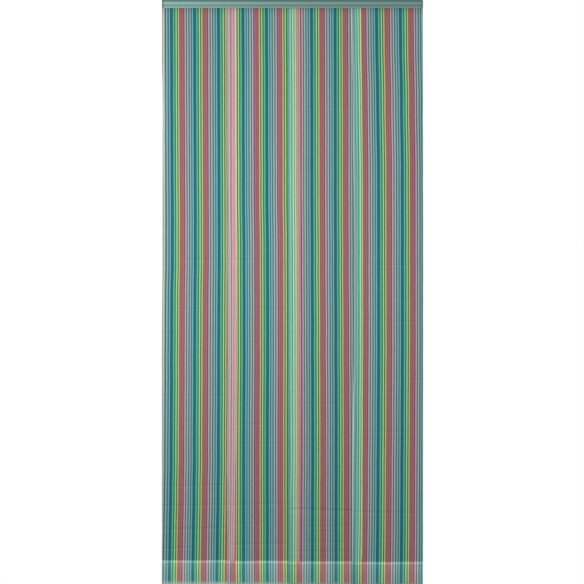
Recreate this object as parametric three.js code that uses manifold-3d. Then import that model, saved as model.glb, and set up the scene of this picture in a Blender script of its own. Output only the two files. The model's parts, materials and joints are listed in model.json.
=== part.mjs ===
// A door curtain: long strips of sheer striped cloth hang side by side from a ribbed head rail, so
// that a person can part them and walk through. Each strip's left edge laps over the strip before.
// Sizes are in millimetres, with +Z up. The origin is the middle of the rail's flat back face,
// and the curtain's front looks along -Y. A drop is a distance down from the rail's top.

import * as THREE from "three";
import { mergeVertices } from "three/addons/utils/BufferGeometryUtils.js";
import Module from "manifold-3d";

// Driving dimensions of the whole curtain
const CURTAIN_WIDTH = 900;
const RAIL_HEIGHT = 28.6;
const RAIL_TOP = RAIL_HEIGHT / 2;
const SEAT_GAP = 0.3;

// The rail's profile: two closed chambers, and a channel that is open below between two lips
const WALL = 1.5;
const CHANNEL_WIDTH = 7;
const CHANNEL_TOP = 15;
const LIP_HEIGHT = 1.4;
const SLOT_WIDTH = 3.8;
const CHAMBER_TOP = 1.5;
const REAR_CHAMBER_WIDTH = 7;
const REAR_CHAMBER_FLOOR = 1.6;
const CHANNEL_REAR = WALL + REAR_CHAMBER_WIDTH + WALL;
const CHANNEL_PLANE = CHANNEL_REAR + CHANNEL_WIDTH / 2;
const CHANNEL_FRONT = CHANNEL_REAR + CHANNEL_WIDTH;

// The rail's ribbed front, from its top down: how far each corner stands out from the back face
const RAIL_FRONT = [
  { drop: 0.0, out: 17.2 },
  { drop: 5.2, out: 18.6 },
  { drop: 5.5, out: 20.6 },
  { drop: 6.3, out: 21.2 },
  { drop: 11.2, out: 21.2 },
  { drop: 11.6, out: 20.6 },
  { drop: 15.6, out: 20.6 },
  { drop: 16.0, out: 19.0 },
  { drop: 21.4, out: 19.4 },
  { drop: 21.8, out: 20.6 },
  { drop: 28.0, out: 20.6 },
  { drop: RAIL_HEIGHT, out: 20.0 },
];

// Each end cap is a plate with a plug that fills the rail's upper chamber
const CAP_PLATE = 4.8;
const CAP_OUT = 21.4;
const CAP_CORNER = 2.5;
const PLUG_LENGTH = 14;
const PLUG_ROOT = 1;
const MERGE_DISTANCE = 1e-4;

// The cloth: how far it reaches in front of and behind its middle surface at each drop.
// The heading is a stitched bead that rests on the lips. The hem's turn-in is its thickest part.
const CLOTH_HALF = 0.6;
const BEAD_BOTTOM = RAIL_HEIGHT - LIP_HEIGHT - SEAT_GAP;
const BEAD = [
  { drop: BEAD_BOTTOM - 6.0, front: 1.6, back: 1.6 },
  { drop: BEAD_BOTTOM - 4.8, front: 2.9, back: 2.9 },
  { drop: BEAD_BOTTOM - 0.6, front: 2.9, back: 2.9 },
  { drop: BEAD_BOTTOM, front: 2.5, back: 2.5 },
];
const NECK = [
  { drop: BEAD_BOTTOM, front: CLOTH_HALF, back: CLOTH_HALF },
  { drop: RAIL_HEIGHT + 1.0, front: CLOTH_HALF, back: CLOTH_HALF },
];

// The beads lie end to end in the channel. Where the next strip laps over this one, its bead is
// cut back, and only the cloth goes up into the slot, behind the next strip's neck.
const BEAD_END_GAP = 0.6;
const BEAD_END = [
  { before: 2.4, bead: 1 },
  { before: 1.2, bead: 0.3 },
  { before: 0.0, bead: 0 },
];
const TAIL_TOP = BEAD_BOTTOM + SEAT_GAP;
const TAIL_ROW_STEP = 0.08;
const HEM = [
  { above: 75.2, front: CLOTH_HALF, back: CLOTH_HALF },
  { above: 74.6, front: CLOTH_HALF, back: 2.4 },
  { above: 65.0, front: CLOTH_HALF, back: 2.4 },
  { above: 64.2, front: CLOTH_HALF, back: 1.8 },
  { above: 34.0, front: CLOTH_HALF, back: 1.9 },
  { above: 2.0, front: CLOTH_HALF, back: 1.8 },
  { above: 0.0, front: 0.1, back: 1.1 },
];
const HEM_DEPTH = HEM[0].above;
const SIDE_HEM_WIDTH = 9;
const SIDE_HEM_THICKENING = 0.7;
const SIDE_HEM_START = RAIL_HEIGHT + 70;
const SIDE_HEM_TAPER = 2;
const ROWS_IN_DROP = 25;
const COLUMNS_IN_WIDTH = 10;

// Each strip slants, with its left edge in front and its right edge at the back. The slant is how
// far apart its edges are in depth, in the rail's slot and in the hanging cloth.
const SLOT_SLANT = 1.9;
const HANGING_SLANT = 6.8;
const SLANT_GROWTH = 240;

// Gentle waves in depth, which grow from the straight rail down. All strips share one long wave,
// so that they lap without touching, and each has its own wave in its middle. A wave leans
// sideways by its lean over the whole drop.
const SHARED_WAVE = { length: 168, swing: 3.4, forward: 2.6, lean: 46 };
const WAVE_GROWTH = 520;

// Each strip's outline and folds. The outline's rows are its two edges at a drop,
// measured from the curtain's middle, and the creases are packing folds that run across it.
const STRIPS = [
  {
    name: "strip_1",
    drop: 2005.6,
    wave: { length: 118, swing: 2.5, start: 20, lean: -38 },
    outline: [
      { drop: 0, left: -444.2, right: -194.0 },
      { drop: 29.6, left: -444.2, right: -194.0 },
      { drop: 35, left: -449.2, right: -193.8 },
      { drop: 345, left: -446.3, right: -193.6 },
      { drop: 862, left: -445.0, right: -191.9 },
      { drop: 1207, left: -446.2, right: -192.8 },
      { drop: 1483, left: -449.0, right: -195.2 },
      { drop: 1724, left: -450.0, right: -198.5 },
      { drop: 2006, left: -450.0, right: -201.2 },
    ],
    creases: [
      { drop: 1671, dent: 1.0 },
      { drop: 1738, dent: -0.9 },
      { drop: 1814, dent: 1.1 },
    ],
  },
  {
    name: "strip_2",
    drop: 2007.2,
    wave: { length: 104, swing: 2.1, start: 61, lean: 30 },
    outline: [
      { drop: 0, left: -229.6, right: 25.5 },
      { drop: 345, left: -228.8, right: 25.9 },
      { drop: 862, left: -226.4, right: 26.9 },
      { drop: 1207, left: -226.2, right: 28.4 },
      { drop: 1552, left: -225.4, right: 27.2 },
      { drop: 2008, left: -223.2, right: 25.0 },
    ],
    creases: [
      { drop: 1734, dent: 1.2 },
      { drop: 1872, dent: 1.0 },
    ],
  },
  {
    name: "strip_3",
    drop: 2008.3,
    wave: { length: 126, swing: 2.6, start: 12, lean: 52 },
    outline: [
      { drop: 0, left: -14.8, right: 236.4 },
      { drop: 345, left: -14.6, right: 237.4 },
      { drop: 862, left: -13.2, right: 238.2 },
      { drop: 1552, left: -10.4, right: 236.6 },
      { drop: 2009, left: -11.4, right: 232.8 },
    ],
    creases: [
      { drop: 1352, dent: 0.8 },
      { drop: 1758, dent: 1.2 },
      { drop: 1814, dent: -0.8 },
    ],
  },
  {
    name: "strip_4",
    drop: 2010.9,
    wave: { length: 112, swing: 2.2, start: 84, lean: -44 },
    outline: [
      { drop: 0, left: 201.8, right: 444.2 },
      { drop: 29.6, left: 201.8, right: 444.2 },
      { drop: 35, left: 201.9, right: 449.4 },
      { drop: 345, left: 206.6, right: 450.6 },
      { drop: 862, left: 211.8, right: 451.4 },
      { drop: 1207, left: 211.4, right: 451.2 },
      { drop: 1552, left: 206.4, right: 450.8 },
      { drop: 2011, left: 204.6, right: 450.4 },
    ],
    creases: [
      { drop: 1107, dent: 1.0 },
      { drop: 1765, dent: 1.2 },
    ],
  },
];
const CREASE_REACH = 11;

const wasm = await Module();
wasm.setup();

const railPaint = new THREE.MeshStandardMaterial({ color: 0x7d9f9a, roughness: 0.42, metalness: 0.3 });
const capPlastic = new THREE.MeshStandardMaterial({ color: 0x6c8782, roughness: 0.5, metalness: 0 });
const clothColours = { strip_1: 0x6f8f8c, strip_2: 0x7a8d86, strip_3: 0x6c8a86, strip_4: 0x75877f };

// A profile drawn as (distance out from the back face, drop) becomes a solid along X
function extrudeAlongX(outline, holes, fromX, length) {
  const toPoint = ({ out, drop }) => new THREE.Vector2(-out, RAIL_TOP - drop);
  const shape = new THREE.Shape(outline.map(toPoint));
  shape.holes = holes.map((hole) => new THREE.Path(hole.map(toPoint)));
  const geometry = new THREE.ExtrudeGeometry(shape, { depth: length, bevelEnabled: false });
  const profileToWorld = new THREE.Matrix4().makeBasis(
    new THREE.Vector3(0, 1, 0),
    new THREE.Vector3(0, 0, 1),
    new THREE.Vector3(1, 0, 0),
  );
  geometry.applyMatrix4(profileToWorld);
  geometry.translate(fromX, 0, 0);
  return geometry;
}

// The walls and lips around the channel, from the rail's back towards its front
function channelOutline() {
  const halfSlot = SLOT_WIDTH / 2;
  const lipTop = RAIL_HEIGHT - LIP_HEIGHT;
  return [
    { out: CHANNEL_PLANE - halfSlot, drop: RAIL_HEIGHT },
    { out: CHANNEL_PLANE - halfSlot, drop: lipTop },
    { out: CHANNEL_REAR, drop: lipTop },
    { out: CHANNEL_REAR, drop: CHANNEL_TOP },
    { out: CHANNEL_FRONT, drop: CHANNEL_TOP },
    { out: CHANNEL_FRONT, drop: lipTop },
    { out: CHANNEL_PLANE + halfSlot, drop: lipTop },
    { out: CHANNEL_PLANE + halfSlot, drop: RAIL_HEIGHT },
  ];
}

const upperChamber = {
  rear: WALL,
  front: CHANNEL_FRONT - WALL,
  top: CHAMBER_TOP,
  bottom: CHANNEL_TOP - WALL,
};
const rearChamber = {
  rear: WALL,
  front: WALL + REAR_CHAMBER_WIDTH,
  top: upperChamber.bottom + REAR_CHAMBER_FLOOR,
  bottom: RAIL_HEIGHT - REAR_CHAMBER_FLOOR,
};

function rectangle({ rear, front, top, bottom }) {
  return [
    { out: rear, drop: top },
    { out: front, drop: top },
    { out: front, drop: bottom },
    { out: rear, drop: bottom },
  ];
}

function makeRail() {
  const outline = [
    { out: 0, drop: 0 },
    { out: 0, drop: RAIL_HEIGHT },
    ...channelOutline(),
    ...[...RAIL_FRONT].reverse(),
  ];
  const halfLength = CURTAIN_WIDTH / 2 - CAP_PLATE - SEAT_GAP;
  const chambers = [rectangle(upperChamber), rectangle(rearChamber)];
  return extrudeAlongX(outline, chambers, -halfLength, 2 * halfLength);
}

// Boolean solids need shared vertices, so only the positions are kept and merged
function toManifold(geometry) {
  const bare = new THREE.BufferGeometry();
  bare.setAttribute("position", geometry.getAttribute("position"));
  if (geometry.index) bare.setIndex(geometry.index);
  const merged = mergeVertices(bare, MERGE_DISTANCE);
  const mesh = new wasm.Mesh({
    numProp: 3,
    vertProperties: new Float32Array(merged.getAttribute("position").array),
    triVerts: new Uint32Array(merged.index.array),
  });
  return new wasm.Manifold(mesh);
}

function toGeometry(solid) {
  const mesh = solid.getMesh();
  const geometry = new THREE.BufferGeometry();
  geometry.setAttribute("position", new THREE.BufferAttribute(new Float32Array(mesh.vertProperties), 3));
  geometry.setIndex(new THREE.BufferAttribute(new Uint32Array(mesh.triVerts), 1));
  geometry.computeVertexNormals();
  return geometry;
}

// The cap's plate follows the rail's envelope, with its two front corners cut back
function makeEndCap(side) {
  const plateOutline = [
    { out: 0, drop: 0 },
    { out: 0, drop: RAIL_HEIGHT },
    { out: CAP_OUT - CAP_CORNER, drop: RAIL_HEIGHT },
    { out: CAP_OUT, drop: RAIL_HEIGHT - CAP_CORNER },
    { out: CAP_OUT, drop: CAP_CORNER },
    { out: CAP_OUT - CAP_CORNER, drop: 0 },
  ];
  const plugOutline = rectangle({
    rear: upperChamber.rear + SEAT_GAP,
    front: upperChamber.front - SEAT_GAP,
    top: upperChamber.top + SEAT_GAP,
    bottom: upperChamber.bottom - SEAT_GAP,
  });
  const outerFace = CURTAIN_WIDTH / 2;
  const innerFace = outerFace - CAP_PLATE;
  const plateFrom = side < 0 ? -outerFace : innerFace;
  const plugFrom = side < 0 ? -innerFace - PLUG_ROOT : innerFace - PLUG_LENGTH;
  const plate = toManifold(extrudeAlongX(plateOutline, [], plateFrom, CAP_PLATE));
  const plug = toManifold(extrudeAlongX(plugOutline, [], plugFrom, PLUG_LENGTH + PLUG_ROOT));
  return toGeometry(plate.add(plug));
}

const lerp = THREE.MathUtils.lerp;
const smoothstep = THREE.MathUtils.smoothstep;

// The strip's two edges at a drop, eased between the rows of its outline
function edgesAt(strip, drop) {
  const rows = strip.outline;
  const next = Math.max(1, rows.findIndex((row) => row.drop >= drop));
  const above = rows[next - 1];
  const below = rows[next];
  const t = smoothstep(drop, above.drop, below.drop);
  return { left: lerp(above.left, below.left, t), right: lerp(above.right, below.right, t) };
}

// How far the cloth's middle surface stands out from the rail's back face, below its bead
function outAt(strip, x, across, drop) {
  const growth = smoothstep(drop, RAIL_HEIGHT, RAIL_HEIGHT + WAVE_GROWTH);
  const slantGrowth = smoothstep(drop, RAIL_HEIGHT, RAIL_HEIGHT + SLANT_GROWTH);
  const slant = lerp(SLOT_SLANT, HANGING_SLANT, slantGrowth) * (0.5 - across);
  const down = drop / strip.drop;
  const turn = 2 * Math.PI;
  const shared = Math.sin((turn * (x + SHARED_WAVE.lean * down)) / SHARED_WAVE.length);
  const own = Math.sin((turn * (x + strip.wave.start + strip.wave.lean * down)) / strip.wave.length);
  const middle = Math.sin(Math.PI * across);
  const waves = SHARED_WAVE.forward + SHARED_WAVE.swing * shared + strip.wave.swing * middle * own;
  const dents = strip.creases.map((crease) => {
    const distance = Math.abs(drop - crease.drop);
    return crease.dent * Math.max(0, 1 - distance / CREASE_REACH);
  });
  return CHANNEL_PLANE + slant + growth * waves + dents.reduce((sum, dent) => sum + dent, 0);
}

// The drops at which the strip has a row of points, with its reach in front and behind there
function rowsOf(strip) {
  const hem = HEM.map(({ above, front, back }) => ({ drop: strip.drop - above, front, back }));
  const bodyTop = NECK[NECK.length - 1].drop;
  const bodyBottom = strip.drop - HEM_DEPTH;
  const creaseDrops = strip.creases.flatMap(({ drop }) => [drop - CREASE_REACH, drop, drop + CREASE_REACH]);
  const bodyDrops = [SIDE_HEM_START - SIDE_HEM_TAPER, SIDE_HEM_START, ...creaseDrops];
  for (let row = 1; row < ROWS_IN_DROP; row += 1) {
    const drop = lerp(bodyTop, bodyBottom, row / ROWS_IN_DROP);
    const nearest = Math.min(...creaseDrops.map((crease) => Math.abs(crease - drop)));
    if (nearest > CREASE_REACH) bodyDrops.push(drop);
  }
  bodyDrops.sort((a, b) => a - b);
  const body = bodyDrops.map((drop) => ({ drop, front: CLOTH_HALF, back: CLOTH_HALF }));
  return [...NECK, ...body, ...hem];
}

// The places across the strip, from 0 at its left edge to 1, with how much of the full bead there
// is at each: all of it, the narrowed end, or none where the next strip laps over
function columnsOf(strip, nextStrip) {
  const { left, right } = edgesAt(strip, BEAD_BOTTOM);
  const width = right - left;
  const hemShare = SIDE_HEM_WIDTH / width;
  const inner = [];
  for (let column = 0; column <= COLUMNS_IN_WIDTH; column += 1) {
    inner.push(lerp(hemShare, 1 - hemShare, column / COLUMNS_IN_WIDTH));
  }
  if (!nextStrip) return [0, ...inner, 1].map((across) => ({ across, bead: 1 }));
  const tailStart = (edgesAt(nextStrip, BEAD_BOTTOM).left - BEAD_END_GAP - left) / width;
  const columns = [0, ...inner, 1].map((across) => ({ across, bead: across < tailStart ? 1 : 0 }));
  const end = BEAD_END.map(({ before, bead }) => ({ across: tailStart - before / width, bead }));
  return [...columns, ...end].sort((a, b) => a.across - b.across);
}

// One closed sheet: a front and a back grid of points over the same rows and columns
function makeStrip(strip, nextStrip) {
  const clothRows = rowsOf(strip);
  const rows = [...BEAD, ...clothRows];
  const columns = columnsOf(strip, nextStrip);
  const tailEnd = TAIL_TOP + BEAD.length * TAIL_ROW_STEP;
  const last = columns.length - 1;
  const points = [];
  for (const face of ["front", "back"]) {
    BEAD.forEach((row, step) => {
      const edges = edgesAt(strip, row.drop);
      for (const { across, bead } of columns) {
        const x = lerp(edges.left, edges.right, across);
        const drop = bead > 0 ? row.drop : TAIL_TOP + step * TAIL_ROW_STEP;
        const middle = bead === 1 ? CHANNEL_PLANE : outAt(strip, x, across, drop);
        const reach = Math.max(CLOTH_HALF, bead * row[face]);
        points.push(x, -(face === "front" ? middle + reach : middle - reach), RAIL_TOP - drop);
      }
    });
    for (const row of clothRows) {
      const edges = edgesAt(strip, row.drop);
      columns.forEach(({ across, bead }, column) => {
        const x = lerp(edges.left, edges.right, across);
        const isEdge = column === 0 || column === last;
        const sideHem = isEdge && row.drop >= SIDE_HEM_START ? SIDE_HEM_THICKENING : 0;
        const drop = bead > 0 ? row.drop : Math.max(row.drop, tailEnd);
        const out = outAt(strip, x, across, drop);
        const y = face === "front" ? -(out + row.front) : -(out - row.back - sideHem);
        points.push(x, y, RAIL_TOP - drop);
      });
    }
  }
  const perRow = columns.length;
  const perFace = perRow * rows.length;
  const index = [];
  const addQuad = (a, b, c, d) => index.push(a, b, c, a, c, d);
  for (let row = 0; row < rows.length - 1; row += 1) {
    for (let column = 0; column < last; column += 1) {
      const a = row * perRow + column;
      addQuad(a, a + perRow, a + perRow + 1, a + 1);
      addQuad(perFace + a, perFace + a + 1, perFace + a + perRow + 1, perFace + a + perRow);
    }
    const left = row * perRow;
    const right = left + last;
    addQuad(left, perFace + left, perFace + left + perRow, left + perRow);
    addQuad(right, right + perRow, perFace + right + perRow, perFace + right);
  }
  const bottom = (rows.length - 1) * perRow;
  for (let column = 0; column < last; column += 1) {
    addQuad(column, column + 1, perFace + column + 1, perFace + column);
    const a = bottom + column;
    addQuad(a, perFace + a, perFace + a + 1, a + 1);
  }
  const geometry = new THREE.BufferGeometry();
  geometry.setAttribute("position", new THREE.Float32BufferAttribute(points, 3));
  geometry.setIndex(index);
  geometry.computeVertexNormals();
  return geometry;
}

const curtain = new THREE.Group();

function addPiece(name, geometry, material) {
  const piece = new THREE.Mesh(geometry, material);
  piece.name = name;
  curtain.add(piece);
}

addPiece("head_rail", makeRail(), railPaint);
addPiece("end_cap_left", makeEndCap(-1), capPlastic);
addPiece("end_cap_right", makeEndCap(1), capPlastic);
STRIPS.forEach((strip, place) => {
  const cloth = new THREE.MeshStandardMaterial({ color: clothColours[strip.name], roughness: 0.9 });
  addPiece(strip.name, makeStrip(strip, STRIPS[place + 1]), cloth);
});

export default curtain;
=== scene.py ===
# A door curtain of four lapped strips of sheer striped voile, which hang from a ribbed head rail.
# Each strip's left edge laps over the right edge of the strip before it.
# Tables are in millimetres and meshes in metres. A drop is a distance down from the rail's top,
# out is a distance in front of its flat back, and x runs to the right from the curtain's middle.
import json
import math
from collections import namedtuple

import bpy
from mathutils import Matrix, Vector, noise

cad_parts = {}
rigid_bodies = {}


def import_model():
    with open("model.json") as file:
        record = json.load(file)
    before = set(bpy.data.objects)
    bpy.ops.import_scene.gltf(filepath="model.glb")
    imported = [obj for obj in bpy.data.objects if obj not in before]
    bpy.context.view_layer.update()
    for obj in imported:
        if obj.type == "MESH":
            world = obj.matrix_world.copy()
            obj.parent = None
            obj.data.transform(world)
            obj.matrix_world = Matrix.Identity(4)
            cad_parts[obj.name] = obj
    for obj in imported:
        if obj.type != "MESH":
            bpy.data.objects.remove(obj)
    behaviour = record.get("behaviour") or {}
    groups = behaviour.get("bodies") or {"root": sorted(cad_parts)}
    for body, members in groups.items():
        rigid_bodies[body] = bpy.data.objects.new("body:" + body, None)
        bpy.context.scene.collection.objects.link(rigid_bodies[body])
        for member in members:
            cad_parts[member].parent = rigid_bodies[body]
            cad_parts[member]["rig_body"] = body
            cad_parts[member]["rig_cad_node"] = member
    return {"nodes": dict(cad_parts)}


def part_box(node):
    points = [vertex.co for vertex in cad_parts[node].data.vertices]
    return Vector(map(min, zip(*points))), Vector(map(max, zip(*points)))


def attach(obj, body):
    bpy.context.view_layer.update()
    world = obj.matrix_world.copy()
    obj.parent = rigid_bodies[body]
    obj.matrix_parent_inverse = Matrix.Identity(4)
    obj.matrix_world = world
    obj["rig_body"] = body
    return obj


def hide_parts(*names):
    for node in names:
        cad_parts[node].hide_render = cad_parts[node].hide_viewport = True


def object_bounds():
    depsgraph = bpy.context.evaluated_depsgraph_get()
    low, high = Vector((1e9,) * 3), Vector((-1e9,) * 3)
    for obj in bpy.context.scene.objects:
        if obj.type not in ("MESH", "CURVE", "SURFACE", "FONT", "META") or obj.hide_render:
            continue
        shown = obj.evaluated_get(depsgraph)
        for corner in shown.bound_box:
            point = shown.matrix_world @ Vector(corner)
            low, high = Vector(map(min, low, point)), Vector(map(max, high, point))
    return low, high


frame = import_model()
cad_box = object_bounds()
MM = 0.001

# Camera
# The curtain is seen square on from far away. The picture's top edge cuts just into the rail, and
# the hems end just above its bottom edge.
PICTURE_PIXELS = 584
MM_PER_PIXEL = 3.448
MIDDLE_PIXEL = 292.5
CLOTH_FRONT = 18
CAMERA_DISTANCE = 8000
SENSOR_WIDTH = 36
CUT_OFF_TOP = 0.9

picture_size = PICTURE_PIXELS * MM_PER_PIXEL
rail_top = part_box("head_rail")[1].z / MM
camera_data = bpy.data.cameras.new("square_on")
camera_data.sensor_width = SENSOR_WIDTH
camera_data.lens = SENSOR_WIDTH * CAMERA_DISTANCE / picture_size
camera_data.clip_end = 100
camera = bpy.data.objects.new("square_on", camera_data)
camera.location = (
    (PICTURE_PIXELS / 2 - MIDDLE_PIXEL) * MM_PER_PIXEL * MM,
    -(CLOTH_FRONT + CAMERA_DISTANCE) * MM,
    (rail_top - CUT_OFF_TOP - picture_size / 2) * MM,
)
camera.rotation_euler = (math.radians(90), 0, 0)
bpy.context.scene.collection.objects.link(camera)
bpy.context.scene.camera = camera
bpy.context.scene.view_settings.view_transform = "Standard"

# Floor, background and light
# A pale studio floor lies just under the hems and ends a little way behind them. Even light comes
# from all round, and one broad soft lamp stands in front, a little left of the middle, so the cloth
# darkens gently towards its hems.
FLOOR_GAP = 16
FLOOR_HALF_WIDTH = 1600
FLOOR_FRONT = 1400
FLOOR_BACK = 60
FLOOR_COLOUR = "F4F4F2"
BACKGROUND_COLOUR = "FFFFFF"
ROOM_LIGHT = 0.5
LAMP_PLACE = Vector((-450, -1570, -660))
LAMP_SIZE = 1300
LAMP_WATTS = 13.5


def linear(colour):
    """An sRGB hex colour as the linear RGBA that a shader takes."""
    channels = [int(colour[i : i + 2], 16) / 255 for i in (0, 2, 4)]
    return [c / 12.92 if c <= 0.04045 else ((c + 0.055) / 1.055) ** 2.4 for c in channels] + [1.0]


def add_node(tree, kind, inputs=None, **settings):
    """Adds a node. An input is another node's output, which is linked to it, or a fixed value."""
    node = tree.nodes.new(kind)
    for name, value in settings.items():
        setattr(node, name, value)
    for name, value in (inputs or {}).items():
        if isinstance(value, bpy.types.NodeSocket):
            tree.links.new(value, node.inputs[name])
        else:
            node.inputs[name].default_value = value
    return node


def new_material(name):
    """A material with an empty node tree, and that tree."""
    material = bpy.data.materials.new(name)
    material.use_nodes = True
    material.node_tree.nodes.clear()
    return material, material.node_tree


def new_piece(name, points, faces, edges=()):
    """A mesh object at the origin, with its place in its points, which are in millimetres."""
    mesh = bpy.data.meshes.new(name)
    mesh.from_pydata([Vector(point) * MM for point in points], edges, faces)
    piece = bpy.data.objects.new(name, mesh)
    bpy.context.scene.collection.objects.link(piece)
    return piece


floor_drop = cad_box[0].z / MM - FLOOR_GAP
floor = new_piece(
    "studio_floor",
    [
        (-FLOOR_HALF_WIDTH, -FLOOR_FRONT, floor_drop),
        (FLOOR_HALF_WIDTH, -FLOOR_FRONT, floor_drop),
        (FLOOR_HALF_WIDTH, FLOOR_BACK, floor_drop),
        (-FLOOR_HALF_WIDTH, FLOOR_BACK, floor_drop),
    ],
    [(0, 1, 2, 3)],
)
floor_paint, tree = new_material("pale matt floor")
matt = add_node(
    tree, "ShaderNodeBsdfPrincipled", {"Base Color": linear(FLOOR_COLOUR), "Roughness": 0.95}
)
add_node(tree, "ShaderNodeOutputMaterial", {"Surface": matt.outputs["BSDF"]})
floor.data.materials.append(floor_paint)

room = bpy.data.worlds.new("pale room")
room.use_nodes = True
room.node_tree.nodes.clear()
even_light = add_node(
    room.node_tree, "ShaderNodeBackground", {"Color": linear(BACKGROUND_COLOUR), "Strength": ROOM_LIGHT}
)
backdrop = add_node(
    room.node_tree, "ShaderNodeBackground", {"Color": linear(BACKGROUND_COLOUR), "Strength": 1.0}
)
seen_directly = add_node(room.node_tree, "ShaderNodeLightPath").outputs["Is Camera Ray"]
background = add_node(
    room.node_tree,
    "ShaderNodeMixShader",
    {0: seen_directly, 1: even_light.outputs["Background"], 2: backdrop.outputs["Background"]},
)
add_node(room.node_tree, "ShaderNodeOutputWorld", {"Surface": background.outputs["Shader"]})
bpy.context.scene.world = room

lamp_data = bpy.data.lights.new("soft_lamp", "AREA")
lamp_data.shape = "DISK"
lamp_data.size = LAMP_SIZE * MM
lamp_data.energy = LAMP_WATTS
lamp = bpy.data.objects.new("soft_lamp", lamp_data)
lamp.location = LAMP_PLACE * MM
lamp.rotation_euler = (math.radians(90), 0, 0)
lamp.visible_camera = False
bpy.context.scene.collection.objects.link(lamp)

# Head rail
# An extruded aluminium profile with a satin grey-green powder coat. Its front has a recess along
# the top, two ribs and a groove, and its back is screwed or taped to the door frame.
RAIL_HEIGHT = (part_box("head_rail")[1].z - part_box("head_rail")[0].z) / MM
RAIL_EDGE_ROUNDING = 0.35
RAIL_EDGE_STEPS = 2
# Corners closer than this are one corner, and edges that turn by more than the angle are rounded
MERGE_DISTANCE = 0.01
LEAST_CORNER_DEGREES = 20
# The coat's colour on each band of the front, by the drop at which the band starts, with painted shade in
# the top recess and the groove and a painted highlight on the upper rib
RAIL_BANDS_WITH_PAINTED_SHADE = [
    (0.0, "44706A"),
    (4.0, "55807A"),
    (7.4, "82A69F"),
    (11.2, "82A9A4"),
    (14.7, "7A9F9A"),
    (18.1, "6A8D89"),
    (21.8, "759791"),
    (25.0, "81A29D"),
]
# A painted highlight makes the front paler towards its left end, most of all near it, and painted shade
# makes it darker towards the right
PAINTED_HIGHLIGHT_LEFT = 1.36
PAINTED_HIGHLIGHT_RIGHT = 0.91
HIGHLIGHT_GATHERS = 3.0
HIGHLIGHT_REACH = 450
DIE_LINE_SPACING = 0.7
DIE_LINE_STRETCH = 50


def rounded_copy(node, name, rounding, steps):
    """The CAD node's own shape with its doubles merged and its edges rounded, as a new piece."""
    piece = frame["nodes"][node].copy()
    piece.data = frame["nodes"][node].data.copy()
    piece.name = name
    piece.data.name = name
    piece.parent = None
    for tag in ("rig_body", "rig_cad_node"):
        del piece[tag]
    bpy.context.scene.collection.objects.link(piece)
    weld = piece.modifiers.new("weld", "WELD")
    weld.merge_threshold = MERGE_DISTANCE * MM
    bevel = piece.modifiers.new("edges", "BEVEL")
    bevel.width = rounding * MM
    bevel.segments = steps
    bevel.limit_method = "ANGLE"
    bevel.angle_limit = math.radians(LEAST_CORNER_DEGREES)
    solid = bpy.data.meshes.new_from_object(piece.evaluated_get(bpy.context.evaluated_depsgraph_get()))
    piece.modifiers.clear()
    piece.data = solid
    piece.data.materials.clear()
    piece.data.shade_flat()
    return piece


def set_bands(ramp, bands):
    """Gives a colour ramp hard bands of colour, each with the share at which it starts."""
    ramp.interpolation = "CONSTANT"
    stops = ramp.elements
    for index, (start, colour) in enumerate(bands):
        stop = stops[index] if index < len(stops) else stops.new(start)
        stop.position = start
        stop.color = linear(colour)


def powder_coat():
    """Satin powder coat: painted shade and highlight in bands down the front, a painted highlight towards
    the left end, a soft gloss, and faint die lines along the extrusion.
    """
    material, tree = new_material("satin powder coat on extruded aluminium")
    place = add_node(tree, "ShaderNodeTexCoord").outputs["Object"]
    axes = add_node(tree, "ShaderNodeSeparateXYZ", {"Vector": place}).outputs
    top = rail_top * MM
    down = add_node(
        tree,
        "ShaderNodeMapRange",
        {"Value": axes["Z"], "From Min": top, "From Max": top - RAIL_HEIGHT * MM},
    ).outputs["Result"]
    # Painted shade and highlight: the coat's colour is set band by band down the front
    bands = add_node(tree, "ShaderNodeValToRGB", {"Fac": down})
    set_bands(bands.color_ramp, [(drop / RAIL_HEIGHT, colour) for drop, colour in RAIL_BANDS_WITH_PAINTED_SHADE])
    # Painted highlight: the front's colour is scaled paler towards the left end and darker towards the right
    towards_highlight = add_node(
        tree,
        "ShaderNodeMapRange",
        {"Value": axes["X"], "From Min": HIGHLIGHT_REACH * MM, "From Max": -HIGHLIGHT_REACH * MM},
    ).outputs["Result"]
    near_left = add_node(
        tree, "ShaderNodeMath", {0: towards_highlight, 1: HIGHLIGHT_GATHERS}, operation="POWER"
    ).outputs[0]
    tone = add_node(
        tree, "ShaderNodeMapRange", {"Value": near_left, "To Min": PAINTED_HIGHLIGHT_RIGHT, "To Max": PAINTED_HIGHLIGHT_LEFT}
    ).outputs["Result"]
    colour = add_node(
        tree, "ShaderNodeVectorMath", {0: bands.outputs["Color"], "Scale": tone}, operation="SCALE"
    ).outputs[0]
    along = add_node(
        tree, "ShaderNodeMapping", {"Vector": place, "Scale": (1 / DIE_LINE_STRETCH, 1.0, 1.0)}
    ).outputs["Vector"]
    lines = add_node(
        tree, "ShaderNodeTexNoise", {"Vector": along, "Scale": 1 / (DIE_LINE_SPACING * MM), "Detail": 2.0}
    ).outputs["Fac"]
    relief = add_node(tree, "ShaderNodeBump", {"Height": lines, "Strength": 0.25, "Distance": 0.03 * MM})
    coat = add_node(
        tree,
        "ShaderNodeBsdfPrincipled",
        {
            "Base Color": colour,
            "Roughness": 0.42,
            "IOR": 1.5,
            "Normal": relief.outputs["Normal"],
        },
    )
    add_node(tree, "ShaderNodeOutputMaterial", {"Surface": coat.outputs["BSDF"]})
    return material


rail = rounded_copy("head_rail", "ribbed_rail", RAIL_EDGE_ROUNDING, RAIL_EDGE_STEPS)
rail.data.materials.append(powder_coat())
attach(rail, "root")
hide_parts("head_rail")

# End caps
# A matt moulded plastic plate closes each end of the rail, a shade darker than its coat. A plug on
# its inside is pressed into the profile's upper chamber.
CAP_EDGE_ROUNDING = 0.5
CAP_EDGE_STEPS = 3
CAP_COLOUR = "5F7A74"
CAP_CLOUD_SIZE = 11.1
CAP_CLOUD_TONES = (0.92, 1.08)
CAP_GRAIN_SIZE = 0.4


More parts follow.
